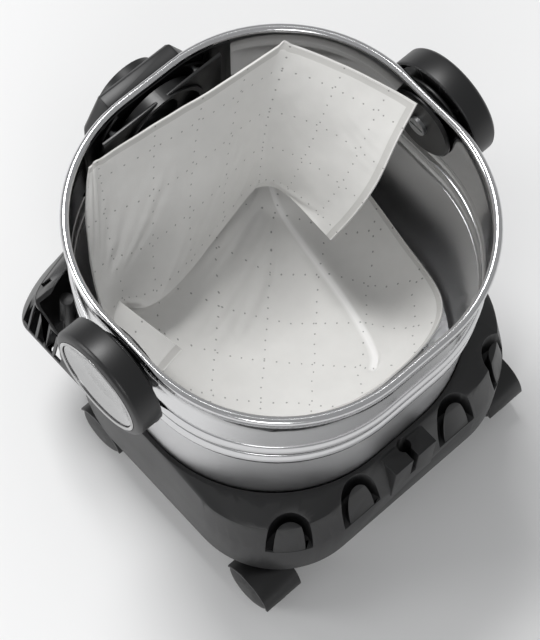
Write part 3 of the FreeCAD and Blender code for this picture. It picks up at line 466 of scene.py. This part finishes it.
# %% Holes in the tub for the hose inlet and the latch pivots
def drill(piece, radius, place, length, turn):
    """Cuts a round hole through a piece with a rod at a place."""
    deselect()
    bpy.ops.mesh.primitive_cylinder_add(
        vertices=64, radius=radius, depth=length, location=place, rotation=turn)
    rod = bpy.context.object
    cutter = piece.modifiers.new("hole", "BOOLEAN")
    cutter.operation, cutter.solver, cutter.object = "DIFFERENCE", "EXACT", rod
    apply_all(piece)
    bpy.data.objects.remove(rod)


PORT_HOLE, PIVOT_HOLE = 24.05 * mm, 4.05 * mm
QUARTER_TURN = math.pi / 2
THROUGH_FRONT, ACROSS_TUB = 40 * mm, 0.4
port_place = frame["record"]["mounts"][0]["pos_m"]
latch_place = frame["record"]["behaviour"]["joints"][0]["pos_m"]
drill(tub, PORT_HOLE, (0, tub_low.y, port_place[2]), THROUGH_FRONT, (QUARTER_TURN, 0, 0))
drill(tub, PIVOT_HOLE, (0, MIDDLE_Y, latch_place[2]), ACROSS_TUB, (0, QUARTER_TURN, 0))
smooth(tub, 40)
hand_over(tub, "tub_wall", "tub_floor")
print("tub faces, drilled", len(tub.data.polygons))


# %% [markdown]
# ## Moulded parts with rounded edges
#
# No moulded edge is knife sharp. A copy of each CAD mesh is cleaned, so that its flat faces are
# single faces again, and its sharp edges get a narrow round that catches the light. Where a round
# would change the piece's volume or box, a narrower one is tried.

# %% Moulded parts
MERGE_GAP, FLAT_ANGLE, SHARP_ANGLE = 0.01 * mm, math.radians(0.7), math.radians(32)
VOLUME_SLACK, BOX_SLACK = 0.03, 0.4 * mm


def volume_of(mesh):
    form = bmesh.new()
    form.from_mesh(mesh)
    total = form.calc_volume(signed=True)
    form.free()
    return total


def rounded(node, width):
    """A copy of a CAD node with its sharp edges rounded by a width."""
    source = frame["nodes"][node]
    piece = bpy.data.objects.new("moulded_" + node, source.data.copy())
    scene.collection.objects.link(piece)
    use(piece)
    bpy.ops.object.mode_set(mode="EDIT")
    bpy.ops.mesh.select_all(action="SELECT")
    bpy.ops.mesh.remove_doubles(threshold=MERGE_GAP)
    bpy.ops.mesh.dissolve_limited(angle_limit=FLAT_ANGLE)
    face_outwards()
    before = volume_of(piece.data)
    plain = piece.data.copy()
    for share in (1.0, 0.6, 0.3):
        edge = piece.modifiers.new("edge", "BEVEL")
        edge.width, edge.segments = width * share, 2
        edge.limit_method, edge.angle_limit = "ANGLE", SHARP_ANGLE
        edge.use_clamp_overlap = False
        apply_all(piece)
        after = volume_of(piece.data)
        grown = max(abs(a - b) for a, b in zip(
            [v for corner in piece.bound_box for v in corner],
            [v for corner in source.bound_box for v in corner]))
        if abs(after / before - 1) < VOLUME_SLACK and grown < BOX_SLACK:
            break
        piece.data = plain.copy()
    else:
        share = 0
    smooth(piece, 38)
    print(node, "round", round(width * share / mm, 2), "mm,", len(piece.data.polygons), "faces")
    hand_over(piece, node)


WIDTHS = {"chassis": 1.2, "front_bumper": 0.6, "inlet_housing": 1.0, "inlet_plate": 0.6,
          "bag_collar": 0.5, "latch_hub_right": 1.0, "latch_hub_left": 1.0,
          "latch_cover_right": 0.8, "latch_cover_left": 0.8}
for node in frame["nodes"]:
    if node.startswith("caster_hood"):
        WIDTHS[node] = 0.5
    if node.startswith("caster_wheel"):
        WIDTHS[node] = 0.8
for node, width in WIDTHS.items():
    rounded(node, width * mm)


# %% [markdown]
# ## Latch faces
#
# Each latch cover holds a bright dished disc. It is a tower of rings: out along the back, over
# the edge, and down the hollow front to its middle.

# %% Latch faces
DISH_STEPS, DISH_THICK, DISH_LIP = 8, 0.8 * mm, 0.5 * mm


def dished_disc(side, node):
    """A dished disc that faces along X, to the right for side 1 and to the left for side -1."""
    low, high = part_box(node)
    radius, centre_z = (high.y - low.y) / 2, (high.z + low.z) / 2
    depth = high.x - low.x
    floor_reach = 0.5 * radius
    front = []
    for step in range(DISH_STEPS + 1):
        share = 1 - step / DISH_STEPS
        front.append((floor_reach + (radius - DISH_LIP - floor_reach) * share,
                      DISH_THICK + (depth - DISH_THICK) * share ** 1.5))
    levels = [(floor_reach, 0), (radius - 1.2 * mm, depth - 1.4 * mm), (radius, depth - 0.6 * mm),
              (radius - 0.1 * mm, depth - 0.1 * mm)] + front
    levels += [(floor_reach * 0.6, 0.55 * mm), (floor_reach * 0.1, 0.5 * mm)]
    deselect()
    bpy.ops.mesh.primitive_circle_add(vertices=72, radius=levels[0][0], fill_type="NGON")
    disc = bpy.context.object
    disc.name = "dished_" + node
    bpy.ops.object.mode_set(mode="EDIT")
    bpy.ops.mesh.select_all(action="SELECT")
    draw_up(levels, (0, 0))
    bpy.ops.mesh.select_all(action="SELECT")
    bpy.ops.transform.rotate(
        value=-side * QUARTER_TURN, orient_axis="Y", center_override=(0, 0, 0))
    back = low.x if side > 0 else high.x
    bpy.ops.transform.translate(value=(back, MIDDLE_Y, centre_z))
    face_outwards()
    smooth(disc, 40)
    reach = [vertex.co.x for vertex in disc.data.vertices]
    print(node, "x", [round(x / mm, 1) for x in (min(reach), max(reach))],
          "CAD", [round(x / mm, 1) for x in (low.x, high.x)])
    hand_over(disc, node)


dished_disc(1, "latch_inlay_right")
dished_disc(-1, "latch_inlay_left")


# %% [markdown]
# ## The filter bag
#
# The bag was folded flat, and it opens out of its folds again as it hangs. Its mouth is welded
# to a collar at the inlet, one flap hangs free over the rest, and the lower part lies in a hollow.
# Each part starts as a grid laid on control points, is smoothed, settles for a moment as real
# cloth with its border held, and gets the fleece's thickness.

# %% Where the cloth lies
UPPER = (
    ((0.081, -0.129, 0.33), (0.076, -0.129, 0.33), (0.025, -0.126, 0.33), (-0.026, -0.118, 0.33),
     (-0.075, -0.113, 0.33), (-0.11, -0.111, 0.33), (-0.126, -0.075, 0.333),
     (-0.139, -0.035, 0.336), (-0.148, 0.003, 0.338)),
    ((0.096, -0.118, 0.31), (0.08, -0.112, 0.313), (0.039, -0.108, 0.302), (-0.008, -0.103, 0.301),
     (-0.052, -0.101, 0.3), (-0.085, -0.102, 0.3), (-0.104, -0.071, 0.302),
     (-0.115, -0.032, 0.304), (-0.124, 0.007, 0.305)),
    ((0.113, -0.096, 0.285), (0.092, -0.089, 0.284), (0.059, -0.085, 0.269), (0.012, -0.085, 0.266),
     (-0.032, -0.089, 0.264), (-0.069, -0.094, 0.262), (-0.087, -0.068, 0.266),
     (-0.096, -0.027, 0.269), (-0.102, 0.014, 0.272)),
    ((0.126, -0.073, 0.255), (0.103, -0.071, 0.254), (0.077, -0.064, 0.236), (0.029, -0.067, 0.231),
     (-0.017, -0.077, 0.228), (-0.059, -0.085, 0.225), (-0.076, -0.067, 0.23),
     (-0.08, -0.029, 0.234), (-0.082, 0.011, 0.238)),
    ((0.133, -0.05, 0.225), (0.107, -0.061, 0.215), (0.091, -0.047, 0.203), (0.041, -0.054, 0.197),
     (-0.007, -0.068, 0.193), (-0.054, -0.078, 0.19), (-0.068, -0.068, 0.196),
     (-0.067, -0.033, 0.2), (-0.064, 0.005, 0.205)),
)
LOWER = (
    ((0.045, -0.118, 0.182), (0, -0.118, 0.18), (-0.049, -0.119, 0.178), (-0.074, -0.106, 0.178),
     (-0.081, -0.098, 0.176), (-0.115, -0.075, 0.166), (-0.137, -0.044, 0.16)),
    ((0.06, -0.108, 0.182), (0.015, -0.106, 0.182), (-0.016, -0.087, 0.193),
     (-0.046, -0.069, 0.187), (-0.065, -0.061, 0.166), (-0.106, -0.039, 0.148),
     (-0.133, -0.008, 0.16)),
    ((0.078, -0.1, 0.185), (0.04, -0.08, 0.187), (0.01, -0.054, 0.195), (-0.04, -0.043, 0.142),
     (-0.064, -0.018, 0.145), (-0.101, 0.001, 0.124), (-0.128, 0.041, 0.146)),
    ((0.107, -0.069, 0.199), (0.072, -0.042, 0.201), (0.023, -0.033, 0.152),
     (-0.026, -0.006, 0.124), (-0.061, 0.03, 0.13), (-0.096, 0.051, 0.116), (-0.121, 0.094, 0.152)),
    ((0.127, -0.042, 0.182), (0.088, -0.02, 0.172), (0.043, -0.003, 0.144), (-0.006, 0.029, 0.124),
     (-0.05, 0.074, 0.135), (-0.077, 0.089, 0.128), (-0.091, 0.111, 0.152)),
    ((0.136, -0.011, 0.168), (0.11, 0.011, 0.158), (0.069, 0.035, 0.146), (0.029, 0.065, 0.14),
     (-0.039, 0.102, 0.148), (-0.047, 0.109, 0.15), (-0.055, 0.115, 0.152)),
    ((0.136, 0.012, 0.16), (0.122, 0.041, 0.156), (0.098, 0.066, 0.15), (0.065, 0.091, 0.15),
     (0.013, 0.11, 0.153), (-0.006, 0.113, 0.154), (-0.024, 0.115, 0.155)),
)
EAR = (
    ((0.11, -0.064, 0.226), (0.104, -0.032, 0.221), (0.096, -0.001, 0.212)),
    ((0.121, -0.059, 0.224), (0.116, -0.03, 0.216), (0.109, 0.0, 0.208)),
    ((0.133, -0.053, 0.22), (0.128, -0.026, 0.211), (0.121, 0.001, 0.204)),
)


# %% Cloth helpers
def run_lengths(points):
    """How far along the cloth each point of a row lies, in metres."""
    far = [0.0]
    for here, there in zip(points, points[1:]):
        far.append(far[-1] + (Vector(there) - Vector(here)).length)
    return far


def lay_grid(name, rows):
    """A grid laid on rows of points, and the (row, column) of each of its vertices."""
    down, along = len(rows), len(rows[0])
    deselect()
    bpy.ops.mesh.primitive_grid_add(x_subdivisions=along - 1, y_subdivisions=down - 1, size=1)
    cloth = bpy.context.object
    cloth.name = name
    place = {}
    for vertex in cloth.data.vertices:
        column = round((vertex.co.x + 0.5) * (along - 1))
        row = round((0.5 - vertex.co.y) * (down - 1))
        place[vertex.index] = row, column
        vertex.co = Vector(rows[row][column])
    return cloth, place


# A sheet that is laid has its rows of holes square to the machine's diagonal, whichever way it
# creases. On a hung one they follow its edges, and start a little way in from them.
DIAGONAL = Vector((-0.686, 0.728, 0.0))
CROSSWISE = Vector((DIAGONAL.y, -DIAGONAL.x, 0.0))
OFF_EDGE = 18 * mm
FAR_OFF = 1.0


def measure_cloth(cloth, place, rows, welds, laid):
    """Gives a cloth its two maps: its own metres, and the distance to its welded edges."""
    middle = run_lengths(rows[len(rows) // 2])
    fall = run_lengths([row[len(row) // 2] for row in rows])
    cloth.data.uv_layers[0].name = "cloth"
    edge = cloth.data.uv_layers.new(name="edge")
    for loop in cloth.data.loops:
        row, column = place[loop.vertex_index]
        spot = middle[column] + OFF_EDGE, -fall[row] - OFF_EDGE
        if laid:
            point = Vector(rows[row][column])
            spot = point.dot(DIAGONAL), point.dot(CROSSWISE)
        cloth.data.uv_layers["cloth"].data[loop.index].uv = spot
        side = middle[-1] - middle[column] if "right" in welds else FAR_OFF
        top = fall[row] if "top" in welds else FAR_OFF
        bottom = fall[-1] - fall[row] if "bottom" in welds else FAR_OFF
        edge.data[loop.index].uv = min(FAR_OFF, side), min(FAR_OFF, top, bottom)


def mark_creases(cloth, place, creases, last_row):
    """Keeps the columns that creases names sharp while the grid is smoothed."""
    sharp = cloth.data.attributes.new("crease_edge", "FLOAT", "EDGE")
    for line in cloth.data.edges:
        ends = [place[v][1] for v in line.vertices]
        if ends[0] == ends[1] and ends[0] in creases:
            sharp.data[line.index].value = creases[ends[0]]
    pleat = cloth.vertex_groups.new(name="pleat")
    pleat.add([v for v, (row, column) in place.items() if column in creases and row < last_row],
              1.0, "REPLACE")
    corners = cloth.data.attributes.new("crease_vert", "FLOAT", "POINT")
    for vertex in cloth.data.vertices:
        row, column = place[vertex.index]
        if column in creases and row in (0, last_row):
            corners.data[vertex.index].value = 1.0


# %% Pleats, and how the cloth settles
PLEAT_EDGE, PLEAT_HEIGHT, PLEAT_STEEPNESS = 0.86, 2.2 * mm, 2
SETTLE_FRAMES = 12


def raise_pleats(cloth, paint_highlight):
    """Lifts the cloth along its creases into narrow pressed ridges, and can mark them for a painted
    highlight along their crests.
    """
    pleat = cloth.vertex_groups["pleat"].index
    marks = cloth.data.attributes.new("painted_ridge_highlight", "FLOAT", "POINT")
    for vertex in cloth.data.vertices:
        share = sum(group.weight for group in vertex.groups if group.group == pleat)
        marks.data[vertex.index].value = share if paint_highlight else 0.0
        rise = max(0.0, share - PLEAT_EDGE) / (1 - PLEAT_EDGE) * PLEAT_STEEPNESS
        vertex.co.z += PLEAT_HEIGHT * min(1.0, rise)


def settle(cloth):
    """Lets the cloth sag for a few frames with its border held, then keeps that shape."""
    borders = cloth.vertex_groups.new(name="held")
    form = bmesh.new()
    form.from_mesh(cloth.data)
    borders.add([v.index for v in form.verts if v.is_boundary], 1.0, "REPLACE")
    form.free()
    sim = cloth.modifiers.new("cloth", "CLOTH")
    sim.settings.quality = 6
    sim.settings.mass = 0.15
    sim.settings.tension_stiffness = sim.settings.compression_stiffness = 25
    sim.settings.bending_stiffness = 1.5
    sim.settings.vertex_group_mass = "held"
    sim.settings.effector_weights.gravity = 0.35
    sim.point_cache.frame_end = SETTLE_FRAMES
    for frame_number in range(1, SETTLE_FRAMES + 1):
        scene.frame_set(frame_number)
    apply_all(cloth)
    scene.frame_set(1)


# %% A finished sheet
def make_cloth(name, rows, creases, welds, thickness, rumpled, laid=False):
    """A sheet of fleece from its points. Creases are column numbers with their sharpness."""
    cloth, place = lay_grid(name, rows)
    measure_cloth(cloth, place, rows, welds, laid)
    mark_creases(cloth, place, creases, len(rows) - 1)
    fine = cloth.modifiers.new("smooth", "SUBSURF")
    fine.levels = 4
    fine.boundary_smooth = "PRESERVE_CORNERS"
    fine.uv_smooth = "NONE"
    apply_all(cloth)
    raise_pleats(cloth, paint_highlight=laid)
    before = [v.co.copy() for v in cloth.data.vertices]
    settle(cloth)
    moved = max((v.co - old).length for v, old in zip(cloth.data.vertices, before))
    rumple = bpy.data.textures.new("rumple", "CLOUDS")
    rumple.noise_scale = 0.05
    loose = cloth.modifiers.new("rumple", "DISPLACE")
    loose.texture, loose.strength, loose.mid_level = rumple, rumpled, 0.5
    loose.texture_coords = "LOCAL"
    body = cloth.modifiers.new("thickness", "SOLIDIFY")
    body.thickness, body.offset = thickness, 0
    apply_all(cloth)
    use(cloth)
    bpy.ops.object.mode_set(mode="EDIT")
    face_outwards()
    smooth(cloth, 50)
    area = sum(face.area for face in cloth.data.polygons) / 2
    print(name, "moved", round(moved / mm, 1), "mm, area", round(area, 4), "m2")
    cloth.data.materials.append(fleece)
    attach(cloth, "bag")
    return cloth


# %% The bag's upper part, its lower part and its folded ear
upper = make_cloth("filter_bag_upper", UPPER, creases={1: 0.8, 5: 0.8}, welds={"top", "right"},
                   thickness=2 * mm, rumpled=3 * mm)
lower = make_cloth("filter_bag_lower", LOWER, creases={4: 0.75}, welds={"right", "bottom"},
                   thickness=1.6 * mm, rumpled=2 * mm, laid=True)
ear = make_cloth("filter_bag_ear", EAR, creases={}, welds={"right"},
                 thickness=2.4 * mm, rumpled=0.3 * mm)
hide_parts("filter_bag")
